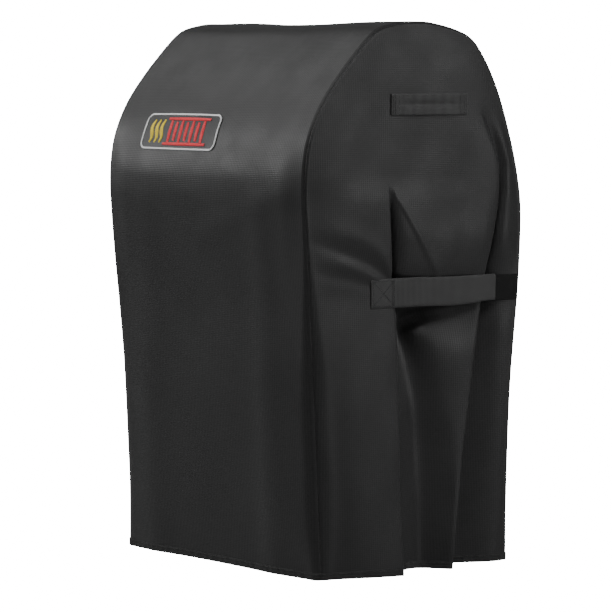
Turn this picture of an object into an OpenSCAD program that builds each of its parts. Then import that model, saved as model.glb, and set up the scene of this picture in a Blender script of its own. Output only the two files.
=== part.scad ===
// Fitted cover for a small cart grill: a centre panel that runs up the front, over the
// top and down the back, two side panels that are pleated under a hook-and-loop strap,
// a lifting handle on each side, a bound hem and a sewn badge.
// X runs across the front, the front faces -Y, and the hem stands on Z = 0.

/* [Cover] */
// Width from side seam to side seam
cover_w = 655; // [560:5:720]
// Depth at the widest height
cover_d = 560; // [500:10:640]
// Height from the hem to the top
cover_h = 1090; // [1000:10:1200]
// Thickness of the coated cloth walls
cloth_t = 2; // [1.5:0.5:3]
// How far each side panel swells past its seams, beside the handle
side_puff = 6; // [2:1:20]
// How far each side panel flares out at the hem, before its pleats tuck in
hem_flare = 24; // [0:1:30]

/* [Pleats] */
// How deep the front pleat tucks in at the hem
front_pleat = 85; // [30:5:110]
// How deep the rear pleat tucks in at the hem
rear_pleat = 75; // [30:5:90]
// Share of the cover's height where the pleats run out
pleat_top = 0.72; // [0.62:0.01:0.78]

/* [Hem and seams] */
// Height of the binding round the hem
hem_h = 16; // [10:1:20]
// Thickness of the binding tape
tape_t = 1.2; // [0.8:0.1:1.6]
// Width of the tape that binds each seam inside
seam_tape_w = 14; // [10:1:20]

/* [Straps] */
// Width of the hook-and-loop strap
strap_w = 58; // [40:1:60]
// Thickness of the strap's webbing
strap_t = 2.2; // [1.6:0.2:3]
// Height of the strap's centre line
strap_z = 558; // [520:1:580]
// Length of the strap from its hinge to its tail
strap_l = 258; // [210:2:270]
// How far the strap bows out over the pleats
strap_bow = 8; // [2:1:14]
// Length of the sewn end of the strap
anchor_l = 62; // [50:1:70]

/* [Handles] */
// Width of the handle strip
handle_w = 42; // [34:1:50]
// Length of the handle between its outer ends
handle_l = 195; // [160:5:200]
// Length of each sewn end of the handle
handle_tab = 24; // [18:1:30]
// Thickness of the handle strip
handle_t = 3; // [2:0.5:4]
// Height of the handle's top edge
handle_top = 948; // [900:1:960]

/* [Badge] */
// Length of the badge
badge_w = 250; // [180:2:260]
// Height of the badge, measured upright
badge_h = 76; // [60:2:90]
// Width of its raised border
badge_rim = 3; // [2:0.5:5]

/* [Hidden] */

cloth_colour = [0.09, 0.09, 0.095];
tape_colour = [0.14, 0.14, 0.145];
webbing_colour = [0.16, 0.16, 0.165];
hook_colour = [0.03, 0.03, 0.03];
thread_colour = [0.05, 0.05, 0.055];
white_thread = [0.85, 0.85, 0.83];
red_thread = [0.75, 0.13, 0.13];
yellow_thread = [0.85, 0.68, 0.12];

$fn = 48;
sew_gap = 0.15;        // clearance left between two sewn layers
thread_r = 0.5;        // half the width of a row of stitches
thread_rise = 0.5;     // how far stitches stand proud
swing_gap = 0.5;       // clearance between a sewn end and the part that swings
foot_z = tape_t + sew_gap; // where the cloth ends inside the hem binding

// Side view of the cover: height, front edge and rear edge, each as a share of the
// height or of half the depth. The top is flat between its last two edges.
profile = [
  [0.018, -0.860, 0.867], [0.110, -0.880, 0.870], [0.320, -0.920, 0.903],
  [0.515, -0.958, 0.977], [0.640, -0.988, 1.000], [0.697, -1.000, 0.982],
  [0.757, -0.985, 0.933], [0.803, -0.938, 0.878], [0.853, -0.838, 0.810],
  [0.899, -0.699, 0.730], [0.940, -0.550, 0.633], [0.972, -0.420, 0.520],
  [0.989, -0.318, 0.340], [1.000, -0.120, 0.120]
];
profile_steps = 2;
side_face = cover_w / 2 + cloth_t; // outer face of a side panel where it lies flat

function mix(a, b, t) = a + (b - a) * t;
function clamp01(t) = min(1, max(0, t));
function smooth(a, b, x) = let (t = clamp01((x - a) / (b - a))) t * t * (3 - 2 * t);

// A point on the Catmull-Rom curve through knots, at position t counted in knots.
function curve_point(knots, t) =
  let (
    n = len(knots),
    i = min(n - 2, floor(t)),
    f = t - i,
    b = knots[i],
    c = knots[i + 1],
    a = i > 0 ? knots[i - 1] : 2 * b - c,
    d = i + 2 < n ? knots[i + 2] : 2 * c - b
  )
  0.5 * (2 * b + (c - a) * f + (2 * a - 5 * b + 4 * c - d) * f * f
    + (3 * b - a - 3 * c + d) * f * f * f);

function curve(knots, steps) =
  [for (i = [0 : (len(knots) - 1) * steps]) curve_point(knots, i / steps)];

// Levels up the cover as [height, front y, rear y], from the foot to the top.
levels = concat(
  [[foot_z, profile[0][1] * cover_d / 2, profile[0][2] * cover_d / 2]],
  [for (p = curve(profile, profile_steps)) [p[0] * cover_h, p[1] * cover_d / 2, p[2] * cover_d / 2]]
);
level_count = len(levels);

// The cover's side outline as [y, z]: up the front, over the top and down the back.
outline = concat(
  [for (v = levels) [v[1], v[0]]],
  [for (i = [level_count - 1 : -1 : 0]) [levels[i][2], levels[i][0]]]
);

// Unit normal to the left of the way from a to b.
function left_normal(a, b) = let (d = b - a) [-d[1], d[0]] / norm(d);

// A path moved sideways by d, to its left. Its two ends move along end_normals.
function shifted(path, d, end_normals) =
  [for (i = [0 : len(path) - 1])
    i == 0 ? path[0] + d * end_normals[0]
    : i == len(path) - 1 ? path[i] + d * end_normals[1]
    : let (
        m = left_normal(path[i - 1], path[i]),
        n = left_normal(path[i], path[i + 1])
      ) path[i] + d * (m + n) / (1 + m * n)];

// The outline moved out of the cover by d.
function outline_out(d) = shifted(outline, d, [[-1, 0], [1, 0]]);

function reversed(list) = [for (i = [len(list) - 1 : -1 : 0]) list[i]];

// Extrudes a [y, z] drawing across the cover, from x = a to x = b.
module across(a, b) {
  translate([a, 0, 0])
    rotate([90, 0, 90])
      linear_extrude(b - a)
        children();
}

// The layer between two distances out of the cover's outline.
module layer(low, high) {
  polygon(concat(outline_out(high), reversed(outline_out(low))));
}

// Front and rear pleats: where they fold, as a share of the side panel's depth.
function front_fold(z) = lookup(z / cover_h, [[0, 0.41], [0.5, 0.42], [0.72, 0.38], [1, 0.38]]);
function rear_fold(z) =
  lookup(z / cover_h, [[0, 0.66], [0.145, 0.715], [0.344, 0.785], [0.5, 0.82], [0.6, 0.84], [1, 0.84]]);
fold_lip = 0.04; // share of the depth over which a fold drops to the bottom of its pleat

// How far a pleat tucks in at share s: it drops at its fold and is out again at reach.
function tuck(s, fold, reach, depth) =
  depth * smooth(fold, fold + fold_lip, s) * (1 - smooth(fold + fold_lip, reach, s));

// A pleat's depth at height z, from its depth at the hem.
function pleat_depth(hem_depth, z) =
  hem_depth * (0.75 * (1 - smooth(strap_z, pleat_top * cover_h, z)) + 0.25 * (1 - smooth(0, strap_z, z)));

// How far the side panel swells past its seams at share s of its depth.
function puff(s, z) =
  side_puff * (1 - pow(2 * s - 1, 6)) * smooth(0.62, 0.78, z / cover_h) * (1 - smooth(0.92, 1, z / cover_h));

// How far it flares below the strap, with its rear fold at share fold.
function flare(s, fold, z) =
  hem_flare * (1 - smooth(0, 0.9 * strap_z, z)) * smooth(0, 0.3, s) * (1 - smooth(fold, 0.96, s));

// Outer face of the side panel at one level as [x, y], from the front seam to the rear one.
// It hangs straight where the hem is bound.
function side_row(level) =
  let (
    z = max(level[0], profile[0][0] * cover_h),
    a = front_fold(z),
    b = rear_fold(z),
    bottom_a = a + fold_lip,
    bottom_b = b + fold_lip,
    shares = concat(
      [0, 0.15 * a, 0.3 * a, 0.55 * a, 0.75 * a, 0.88 * a],
      [for (i = [0 : 4]) mix(a, bottom_a, i / 4)],
      [for (i = [1 : 6]) mix(bottom_a, b, i / 7)],
      [for (i = [0 : 4]) mix(b, bottom_b, i / 4)],
      [for (i = [1 : 3]) mix(bottom_b, 0.96, i / 3)],
      [1]
    )
  )
  [for (s = shares) [
    side_face + puff(s, z) + flare(s, b, z)
      - tuck(s, a, b, pleat_depth(front_pleat, z)) - tuck(s, b, 0.96, pleat_depth(rear_pleat, z)),
    mix(level[1], level[2], s)
  ]];

// The inner face of a side panel's row.
function side_row_inner(level) = shifted(side_row(level), cloth_t, [[-1, 0], [-1, 0]]);

// A thin closed skin between two grids of points with the same rows and columns.
module skin(outer, inner) {
  rows = len(outer);
  cols = len(outer[0]);
  points = concat([for (r = outer) each r], [for (r = inner) each r]);
  function at(side, r, c) = side * rows * cols + r * cols + c;
  function quad(a, b, c, d) = [[a, b, c], [a, c, d]];
  faces = [
    for (r = [0 : rows - 2], c = [0 : cols - 2]) each concat(
      quad(at(0, r, c), at(0, r + 1, c), at(0, r + 1, c + 1), at(0, r, c + 1)),
      quad(at(1, r, c), at(1, r, c + 1), at(1, r + 1, c + 1), at(1, r + 1, c))
    ),
    for (c = [0 : cols - 2]) each concat(
      quad(at(0, 0, c), at(0, 0, c + 1), at(1, 0, c + 1), at(1, 0, c)),
      quad(at(0, rows - 1, c), at(1, rows - 1, c), at(1, rows - 1, c + 1), at(0, rows - 1, c + 1))
    ),
    for (r = [0 : rows - 2]) each concat(
      quad(at(0, r, 0), at(1, r, 0), at(1, r + 1, 0), at(0, r + 1, 0)),
      quad(at(0, r, cols - 1), at(0, r + 1, cols - 1), at(1, r + 1, cols - 1), at(1, r, cols - 1))
    )
  ];
  polyhedron(points, faces);
}

module on_side(side) {
  if (side == "right") children();
  else mirror([1, 0, 0]) children();
}

module center_panel() {
  color(cloth_colour) across(-cover_w / 2, cover_w / 2) layer(-cloth_t, 0);
}

module side_panel(side) {
  color(cloth_colour) on_side(side)
    skin(
      [for (v = levels) [for (p = side_row(v)) [p[0], p[1], v[0]]]],
      [for (v = levels) [for (p = side_row_inner(v)) [p[0], p[1], v[0]]]]
    );
}

// Tape that binds the raw edges of a side seam, inside the cover and above the hem.
module seam_tape(side) {
  color(tape_colour) on_side(side)
    difference() {
      across(cover_w / 2 - seam_tape_w, cover_w / 2 - sew_gap)
        layer(-cloth_t - sew_gap - tape_t, -cloth_t - sew_gap);
      translate([-cover_w, -cover_d, -1])
        cube([2 * cover_w, 2 * cover_d, hem_h + 2]);
    }
}

// Plan of the cloth at the hem, once round the cover, as the outer face moved out by d.
right_hem = side_row(levels[0]);
hem_loop = concat(right_hem, [for (p = reversed(right_hem)) [-p[0], p[1]]]);

function hem_out(d) =
  let (n = len(hem_loop))
  [for (i = [0 : n - 1])
    let (
      m = left_normal(hem_loop[(i + n - 1) % n], hem_loop[i]),
      k = left_normal(hem_loop[i], hem_loop[(i + 1) % n])
    ) hem_loop[i] - d * (m + k) / (1 + m * k)];

module hem_ring(low, high, z0, z1) {
  translate([0, 0, z0])
    linear_extrude(z1 - z0)
      difference() {
        polygon(hem_out(high));
        polygon(hem_out(low));
      }
}

// Tape folded over the lower edge of the cloth, all round.
module hem_binding() {
  color(tape_colour) difference() {
    hem_ring(-cloth_t - sew_gap - tape_t, sew_gap + tape_t, 0, hem_h);
    hem_ring(-cloth_t - sew_gap, sew_gap, tape_t, hem_h + 1);
  }
}

module hem_stitching() {
  outer = sew_gap + tape_t;
  color(thread_colour)
    hem_ring(outer, outer + thread_rise, hem_h - 4, hem_h - 4 + 2 * thread_r);
}

// The strap swings on a line along its outer face, just behind its sewn end.
strap_level = [
  strap_z,
  lookup(strap_z, [for (v = levels) [v[0], v[1]]]),
  lookup(strap_z, [for (v = levels) [v[0], v[2]]])
];
hinge_x = side_face + sew_gap + strap_t;
hinge_y = mix(strap_level[1], strap_level[2], front_fold(strap_z)) - 12;
anchor_end = hinge_y - swing_gap;
hook_t = 2;
hook_w = 48;
hook_overlap = 46;   // length of the strap's tail that lies on the hook tape
hook_start = hinge_y + strap_l - hook_overlap;
hook_end = strap_level[2] - 4;

module at_strap(width) {
  translate([0, 0, strap_z - width / 2]) linear_extrude(width) children();
}

// Sewn front end of the strap.
module strap_anchor(side) {
  color(webbing_colour) on_side(side) at_strap(strap_w)
    translate([side_face + sew_gap, anchor_end - anchor_l])
      square([strap_t, anchor_l]);
}

// A box of stitches with a cross in it, on the sewn end.
module strap_stitching(side) {
  inset = 4;
  l = anchor_l - 2 * inset;
  h = strap_w - 2 * inset;
  tilt = atan2(h, l);
  color(thread_colour) on_side(side)
    translate([side_face + sew_gap + strap_t, anchor_end - anchor_l / 2, strap_z])
      rotate([90, 0, 90])
        linear_extrude(thread_rise) {
          difference() {
            square([l, h], center = true);
            square([l - 4 * thread_r, h - 4 * thread_r], center = true);
          }
          for (way = [-1, 1])
            rotate(way * tilt)
              square([norm([l, h]) - 2 * thread_r, 2 * thread_r], center = true);
        }
}

// Tape with hooks, sewn at the rear seam; it reaches forward under the strap's tail.
module hook_tape(side) {
  color(hook_colour) on_side(side) at_strap(hook_w)
    translate([side_face + sew_gap, hook_start])
      square([hook_t, hook_end - hook_start]);
}

// Inner face of the strap as [x, y]: bowed over the pleats, then flat on the hook tape.
strap_rest = side_face + 0.3;
tail_x = side_face + sew_gap + hook_t + 0.3;
strap_line = [
  for (i = [0 : 16]) let (s = i / 16)
    [mix(strap_rest, tail_x, s) + strap_bow * pow(sin(180 * s), 2), mix(hinge_y, hook_start - 6, s)],
  [tail_x, hinge_y + strap_l]
];

module strap(side) {
  square_ends = [[-1, 0], [-1, 0]];
  color(webbing_colour) on_side(side) at_strap(strap_w)
    polygon(concat(strap_line, reversed(shifted(strap_line, -strap_t, square_ends))));
}

// A strip of constant thickness along a line of points, rounded at its start.
module strip(line, thick, normals) {
  n = normals[0];
  half = thick / 2;
  polygon(concat(
    shifted(line, half, normals),
    reversed(shifted(line, -half, normals)),
    [for (i = [1 : 7]) let (t = 180 * i / 8) line[0] + half * (-n * cos(t) + [-n[1], n[0]] * sin(t))]
  ));
}

// The handle's sewn ends lie on the swollen middle of the side panel.
handle_face = side_face + side_puff + sew_gap;
handle_y = 24;             // middle of the handle
handle_front = handle_y - handle_l / 2;
grip_l = handle_l - 2 * handle_tab - 2 * swing_gap;

module handle_tabs(side) {
  color(webbing_colour) on_side(side)
    for (y = [handle_front, handle_front + handle_l - handle_tab])
      translate([handle_face, y, handle_top - handle_w])
        cube([handle_t, handle_tab, handle_w]);
}

// Two upright rows of stitches on each sewn end.
module handle_stitching(side) {
  inset = 5;
  color(thread_colour) on_side(side)
    for (y = [handle_front, handle_front + handle_l - handle_tab], row = [inset, handle_tab - inset])
      translate([handle_face + handle_t, y + row - thread_r, handle_top - handle_w + 3])
        cube([thread_rise, 2 * thread_r, handle_w - 6]);
}

// The free middle of the handle hangs from its top edge and is creased along its middle.
handle_crease = 3;
module handle_grip(side) {
  half = handle_t / 2;
  pivot = [handle_face + 0.3 + half, handle_top - half];
  line = [pivot, pivot + [handle_crease, -handle_w / 2], pivot + [handle_crease - 1, half - handle_w]];
  color(webbing_colour) on_side(side)
    translate([0, handle_y + grip_l / 2, 0])
      rotate([90, 0, 0])
        linear_extrude(grip_l)
          strip(line, handle_t, [[1, 0], [1, 0]]);
}

// Badge on the front slope. Its layers follow the cloth, one on top of the other.
badge_x = -94;
badge_z = 870;
badge_corner = 15;
badge_ground_t = 0.8;
badge_thread_t = 0.7;

// Cuts a layer that lies on the front of the cover to a drawing in [x, z] round the badge's middle.
module on_badge(low, high) {
  intersection() {
    across(badge_x - badge_w, badge_x + badge_w) layer(low, high);
    translate([badge_x, 0, badge_z])
      rotate([90, 0, 0])
        linear_extrude(cover_d)
          children();
  }
}

module rounded_box(w, h, r) {
  square([w - 2 * r, h], center = true);
  square([w, h - 2 * r], center = true);
  for (x = [-1, 1], y = [-1, 1])
    translate([x * (w / 2 - r), y * (h / 2 - r)]) circle(r);
}

module badge_ground() {
  color(cloth_colour) on_badge(sew_gap, sew_gap + badge_ground_t)
    rounded_box(badge_w - 2 * badge_rim - 0.2, badge_h - 2 * badge_rim - 0.2, badge_corner - badge_rim);
}

module badge_border() {
  color(white_thread) on_badge(sew_gap, sew_gap + badge_ground_t + badge_thread_t)
    difference() {
      rounded_box(badge_w, badge_h, badge_corner);
      rounded_box(badge_w - 2 * badge_rim, badge_h - 2 * badge_rim, badge_corner - badge_rim);
    }
}

// A plain grate: one long bar with short bars under it.
grate_l = 150;
grate_bars = 9;
module badge_grate() {
  low = sew_gap + badge_ground_t;
  pitch = (grate_l - 14) / (grate_bars - 1);
  color(red_thread) on_badge(low, low + badge_thread_t) {
    translate([0, -8]) rounded_box(grate_l, 7, 3.4);
    for (i = [0 : grate_bars - 1])
      translate([(i - (grate_bars - 1) / 2) * pitch, -17]) rounded_box(5.5, 16, 2.7);
  }
}

// Warm air over the grate: upright wavy lines.
wave_count = 5;
wave_h = 26;
wave_swing = 3.2;
wave_t = 5;
module badge_heat_waves() {
  low = sew_gap + badge_ground_t;
  steps = 16;
  line = [for (i = [0 : steps]) [wave_swing * sin(360 * i / steps), wave_h * (i / steps - 0.5)]];
  color(yellow_thread) on_badge(low, low + badge_thread_t)
    for (i = [0 : wave_count - 1])
      translate([(i - (wave_count - 1) / 2) * 27, 14])
        strip(line, wave_t, [[-1, 0], [-1, 0]]);
}

center_panel();
side_panel("right");  // right_side_panel
side_panel("left");  // left_side_panel
seam_tape("right");  // right_seam_tape
seam_tape("left");  // left_seam_tape
hem_binding();
hem_stitching();
strap_anchor("right");  // right_strap_anchor
strap_anchor("left");  // left_strap_anchor
strap_stitching("right");  // right_strap_stitching
strap_stitching("left");  // left_strap_stitching
strap("right");  // right_strap
strap("left");  // left_strap
hook_tape("right");  // right_hook_tape
hook_tape("left");  // left_hook_tape
handle_tabs("right");  // right_handle_tabs
handle_tabs("left");  // left_handle_tabs
handle_stitching("right");  // right_handle_stitching
handle_stitching("left");  // left_handle_stitching
handle_grip("right");  // right_handle_grip
handle_grip("left");  // left_handle_grip
badge_ground();
badge_border();
badge_grate();
badge_heat_waves();
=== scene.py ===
"""Looks of the grill cover: cloth, folds, straps, handles, hem, badge and studio, in metres."""

import math

import bpy
import numpy as np
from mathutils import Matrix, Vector


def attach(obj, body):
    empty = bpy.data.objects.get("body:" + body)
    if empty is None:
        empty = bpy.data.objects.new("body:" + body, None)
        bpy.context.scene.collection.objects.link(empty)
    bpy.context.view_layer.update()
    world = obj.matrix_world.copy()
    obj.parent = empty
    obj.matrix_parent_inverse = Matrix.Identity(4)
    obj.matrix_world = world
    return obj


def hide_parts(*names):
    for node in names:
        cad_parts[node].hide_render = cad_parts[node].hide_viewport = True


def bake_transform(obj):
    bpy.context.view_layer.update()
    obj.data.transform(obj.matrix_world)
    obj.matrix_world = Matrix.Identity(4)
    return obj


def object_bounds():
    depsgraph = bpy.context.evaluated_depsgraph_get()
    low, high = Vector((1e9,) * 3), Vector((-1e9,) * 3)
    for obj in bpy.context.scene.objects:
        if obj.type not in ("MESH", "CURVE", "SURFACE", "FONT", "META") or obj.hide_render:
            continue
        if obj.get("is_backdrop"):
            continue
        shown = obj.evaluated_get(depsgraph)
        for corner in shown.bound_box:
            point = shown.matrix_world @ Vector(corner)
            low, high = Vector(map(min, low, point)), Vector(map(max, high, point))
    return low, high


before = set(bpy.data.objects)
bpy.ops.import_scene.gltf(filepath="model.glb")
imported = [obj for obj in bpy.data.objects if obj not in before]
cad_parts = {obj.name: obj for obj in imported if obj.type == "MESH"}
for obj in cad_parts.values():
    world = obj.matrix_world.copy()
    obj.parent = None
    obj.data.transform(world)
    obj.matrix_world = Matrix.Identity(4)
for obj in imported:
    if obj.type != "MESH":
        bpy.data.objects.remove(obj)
cad_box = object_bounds()

# ---- camera

CAMERA_AZIMUTH = 52.0
CAMERA_ELEVATION = 4.1
CAMERA_DISTANCE = 7.0
CAMERA_TARGET = (-0.0225, 0.0, 0.510)
CAMERA_LENS = 200.5
CAMERA_SENSOR = 36
CAMERA_FAR = 100


def add_aimed(data, place, back):
    """A camera or light at a place, looking the other way from back."""
    obj = bpy.data.objects.new(data.name, data)
    obj.location = place
    obj.rotation_euler = back.to_track_quat("Z", "Y").to_euler()
    bpy.context.scene.collection.objects.link(obj)
    return obj


def add_camera():
    az, el = math.radians(CAMERA_AZIMUTH), math.radians(CAMERA_ELEVATION)
    back = Vector((math.sin(az) * math.cos(el), -math.cos(az) * math.cos(el), math.sin(el)))
    data = bpy.data.cameras.new("camera")
    data.sensor_width = CAMERA_SENSOR
    data.lens = CAMERA_LENS
    data.clip_end = CAMERA_FAR
    place = Vector(CAMERA_TARGET) + back * CAMERA_DISTANCE
    bpy.context.scene.camera = add_aimed(data, place, back)


add_camera()

# ---- sizes

SIDES = (("right", 1.0), ("left", -1.0))

HEIGHT = 1.09
HALF_DEPTH = 0.28
SIDE_FACE = 0.3295  # outer face of a side panel where it lies flat
SIDE_PUFF, PUFF_REACH = 0.010, 0.10  # how far a side panel swells, and how far in from its seam
SEAM_ANGLE = math.radians(45)  # where on its rounded corner a seam lies
SEAM_TURN = 0.0035  # how far the panels' edges turn in at a seam
SEAM_BEAD, SEAM_BEAD_W = 0.0011, 0.006  # height and width of the ridge beside a seam
CLOTH = 0.001
LINE_STEP = 0.002  # between points of the outline, the straps and the badge

HEM_H = 0.0155
FRONT_LIFT, BACK_LIFT = 0.0045, 0.004  # how far the hem is lifted in front and at the back
HEM_ROWS = np.array([0.0012, 0.004, 0.008, 0.012, 0.016])
HEM_LIFT_REACH = 0.3  # height at which the hem's waves have run out
HEM_TAPE = 0.0012
HEM_STITCH_Z, HEM_STITCH_PITCH = 0.0128, 0.0045

BINDING_Z = 0.020  # height at which the tape inside a seam ends
BINDING_INSET, BINDING_W, BINDING_T = 0.010, 0.0115, 0.0008
BINDING_DEPTH = 0.0022  # how far behind the cloth's face it lies

STRAP_Z = 0.558
STRAP_W, STRAP_T = 0.058, 0.0022
STRAP_LIFT = 0.0017  # middle of the webbing in front of the cloth
THREAD_LIFT = 0.0006  # middle of the sewing thread in front of the webbing
RIB_H, WEB_PITCH = 0.00035, 0.0029  # height and pitch of the webbing's ribs
ANCHOR_FRONT_Y, ANCHOR_REAR_Y = -0.1164, -0.060
SEWN_REAR_Y = -0.0585  # rear end of the box of stitches
STRAP_TAIL_Y = 0.2035
STRAP_STITCH_INSET, STRAP_STITCH_PITCH = 0.0045, 0.0036
HOOK_W, HOOK_T = 0.051, 0.0016
# Middle line of the strap's free length and of the hook tape, (x, y) in mm.
STRAP_FREE = [(333.5, -48), (336.5, -20), (339.0, 20), (340.0, 60), (339.5, 100), (337.5, 140),
              (335.2, 172), (334.2, 190), (334.0, 203.5)]
HOOK_LINE = [(331.6, 158), (332.0, 172), (331.8, 184), (330.6, 200), (330.2, 220), (330.6, 240),
             (330.8, 258), (330.2, 266)]

HANDLE_Y = 0.024
HANDLE_Z0, HANDLE_Z1 = 0.906, 0.948
HANDLE_HALF = 0.0970  # half the length with its tabs
HANDLE_GAP = 0.00012  # half the gap where the two halves meet
HANDLE_T = 0.0026
HANDLE_POINTS = 190  # points along one half
HANDLE_STITCH_ROWS, HANDLE_STITCH_PITCH = (0.0035, 0.0085, 0.0195), 0.0032

BADGE_X, BADGE_Z = -0.094, 0.870
BADGE_W, BADGE_H = 0.250, 0.076
BADGE_LIFT, BADGE_T = 0.0011, 0.0009
STRAND_RADIUS, STRAND_PITCH, STRAND_LIFT, STRAND_JITTER = 0.00045, 0.00085, 0.0009, 0.00013

# Side view: height share, front and rear as shares of half the depth.
PROFILE = [
    (0.000, -0.858, 0.866), (0.050, -0.868, 0.868), (0.110, -0.880, 0.870), (0.320, -0.920, 0.903),
    (0.515, -0.958, 0.977), (0.640, -0.988, 1.000), (0.697, -1.000, 0.982), (0.757, -0.985, 0.933),
    (0.803, -0.938, 0.878), (0.853, -0.838, 0.810), (0.899, -0.699, 0.730), (0.940, -0.550, 0.633),
    (0.972, -0.420, 0.520), (0.989, -0.318, 0.340), (1.000, -0.120, 0.120),
]

# Radius of the front corners by height, and of the rear ones.
FRONT_RADIUS = [(0.0, 0.026), (0.06, 0.034), (0.14, 0.042), (0.40, 0.040), (0.50, 0.028),
                (0.60, 0.016), (0.68, 0.011), (0.76, 0.010), (1.2, 0.010)]
REAR_RADIUS = [(0.0, 0.010), (0.76, 0.009), (1.2, 0.010)]

# Folds of a side panel: at each height in mm, y and x in mm of its thirteen fold lines. They are
# the front pleat's nose and tuck, two lines down into the pleat, its bottom, two up its wall, the
# middle, the rear pleat's nose, tuck and bed, and two lines on the way to the rear seam.
FOLD_LINES = 13
FOLDS = {
    0: [-47, 352, -41, 330, -20, 324, 4, 318, 26, 308, 44, 320, 62, 338, 70, 347,
        79, 352, 84, 318, 106, 302, 162, 326, 200, 336],
    60: [-48, 349, -42, 328, -20, 322, 4, 316, 26, 306, 46, 320, 70, 338, 79, 345,
         89, 348, 94, 314, 114, 300, 165, 324, 204, 333],
    158: [-50, 345, -43, 325, -20, 320, 2, 313, 24, 304, 54, 320, 84, 336, 95, 341,
          105, 342, 110, 308, 128, 300, 176, 322, 210, 331],
    257: [-50, 341, -43, 320, -20, 316, 0, 309, 20, 300, 54, 316, 88, 331, 104, 335,
          120, 337, 125, 306, 140, 300, 186, 321, 214, 329],
    340: [-50, 338, -43, 312, -22, 308, -2, 303, 16, 297, 44, 312, 72, 326, 104, 331,
          136, 334, 141, 306, 155, 301, 194, 321, 218, 328],
    430: [-49, 334, -43, 294, -26, 288, -6, 282, 14, 280, 30, 302, 48, 320, 100, 330,
          152, 334, 156, 308, 169, 304, 198, 321, 221, 329],
    475: [-49, 332, -43, 284, -28, 276, -12, 270, 6, 272, 20, 294, 36, 310, 98, 320,
          161, 332, 165, 308, 176, 305, 201, 321, 224, 330],
    520: [-50, 330, -44, 276, -30, 266, -8, 260, 14, 262, 34, 276, 56, 292, 112, 309,
          169, 330, 173, 306, 183, 303, 204, 320, 228, 327],
    558: [-56, 330, -50, 280, -42, 276, -28, 282, -10, 292, 22, 302, 60, 308, 120, 317,
          175, 330, 179, 306, 187, 303, 204, 320, 228, 327],
    590: [-63, 334, -60, 300, -56, 296, -51, 310, -47, 333, 0, 338, 41, 340, 110, 338,
          178, 335, 183, 309, 190, 306, 202, 321, 228, 328],
    653: [-69, 341, -67, 308, -63, 304, -58, 318, -54, 342, -18, 346, 8, 348, 100, 347,
          190, 344, 195, 316, 201, 315, 209, 335, 230, 339],
    711: [-74, 343, -72, 326, -69, 322, -64, 329, -59, 342, -42, 344, -28, 345, 85, 345,
          201, 345, 206, 321, 211, 319, 219, 336, 234, 340],
    760: [-80, 343, -77, 342, -73, 341, -69, 342, -65, 343, -61, 343, -57, 343, 85, 343,
          206, 344, 211, 324, 218, 322, 226, 335, 238, 339],
    805: [-84, 342, -81, 342, -77, 342, -72, 342, -67, 342, -63, 342, -59, 342, 85, 342,
          205, 343, 211, 327, 219, 325, 229, 334, 240, 337],
}
FOLD_TOP = 0.805
# Lines between the front seam and the first nose: shares of the way, and of the low swell there.
LEAD_SHARES = np.array([0, 0.25, 0.52, 0.80])
LEAD_SWELL, LEAD_SWELL_SHARES = 0.0030, np.array([0, 0.15, 0.6, 1.0])
REAR_EDGE = 0.012  # last line before the rear seam
# By line, seams included: how far the hem is lifted, mm, and mesh steps to the next line.
HEM_LIFTS = [4.5, 4.5, 4.0, 3.0, 1.5, 0, 4, 7, 6, 4, 3, 2.5, 2, 1.5, 4, 6, 5, 4.5, 4, 4]
STEPS = [7, 7, 9, 10, 10, 9, 6, 6, 6, 7, 7, 8, 10, 8, 9, 7, 7, 8, 8]
NOSE_LINES = (5.1, 13.1)  # lines beside which the cloth is smoothed least
# Heights between which the folds give way to the plain panel, front part and rear part.
FRONT_FADE, REAR_FADE, FADE_Y = (0.735, 0.79), (0.80, 0.93), (0.08, 0.17)

# Softer folds as lines in the side view: points (y, z) in mm, width mm and its shares above and
# below the line, and depth mm, which is out of the cloth where positive.
STROKES = [
    ([(-275, 668), (-229, 654), (-179, 638), (-137, 622), (-102, 604), (-72, 584)],
     [10, 12, 13, 13, 11, 8], 1.1, 0.9, [0, -2.0, -3.2, -4.0, -4.0, -3.0]),
    ([(-262, 694), (-204, 682), (-142, 664), (-97, 636), (-69, 600)],
     [14, 16, 15, 12, 9], 1.3, 0.8, [0, 1.2, 1.8, 2.0, 1.6]),
    ([(-265, 612), (-216, 598), (-167, 588), (-116, 576)],
     [9, 10, 11, 9], 1.0, 1.2, [0, -1.4, -2.2, -1.8]),
    ([(-255, 634), (-192, 618), (-142, 604), (-100, 588)],
     [11, 13, 13, 10], 1.0, 0.8, [0, 1.0, 1.5, 1.4]),
    ([(-72, 758), (-46, 726), (-16, 680), (13, 636), (43, 592)],
     [5, 6, 6, 6, 6], 1.6, 0.6, [0.3, 1.4, 2.2, 2.8, 2.8]),
    ([(-125, 530), (-150, 440), (-165, 330), (-170, 200), (-170, 60)],
     [22, 28, 34, 40, 44], 1.0, 1.0, [0, 1.0, 1.6, 1.8, 1.5]),
    ([(90, 600), (110, 660), (120, 730), (118, 790)],
     [22, 26, 30, 34], 1.0, 1.0, [-2.0, -2.5, -2.0, 0]),
    ([(150, 592), (162, 650), (172, 720), (178, 780)],
     [9, 10, 12, 12], 1.0, 1.0, [1.6, 2.0, 1.6, 0]),
]
STROKE_REACH = 0.12

# ---- curves


def smooth(a, b, x):
    t = np.clip((x - a) / (b - a), 0, 1)
    return t * t * (3 - 2 * t)


def hump(x, middle, width):
    return np.exp(-(((x - middle) / width) ** 2))


def unit(v):
    v = np.asarray(v, float)
    return v / np.maximum(np.linalg.norm(v, axis=-1, keepdims=True), 1e-12)


def flip_x(values, sign):
    out = np.array(values, float)
    out[..., 0] *= sign
    return out


def flat_of(u, v):
    """Coordinates on the flat material, which its weave follows."""
    u, v = np.broadcast_arrays(u, v)
    return np.stack([u, v, np.zeros(u.shape)], -1)


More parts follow.
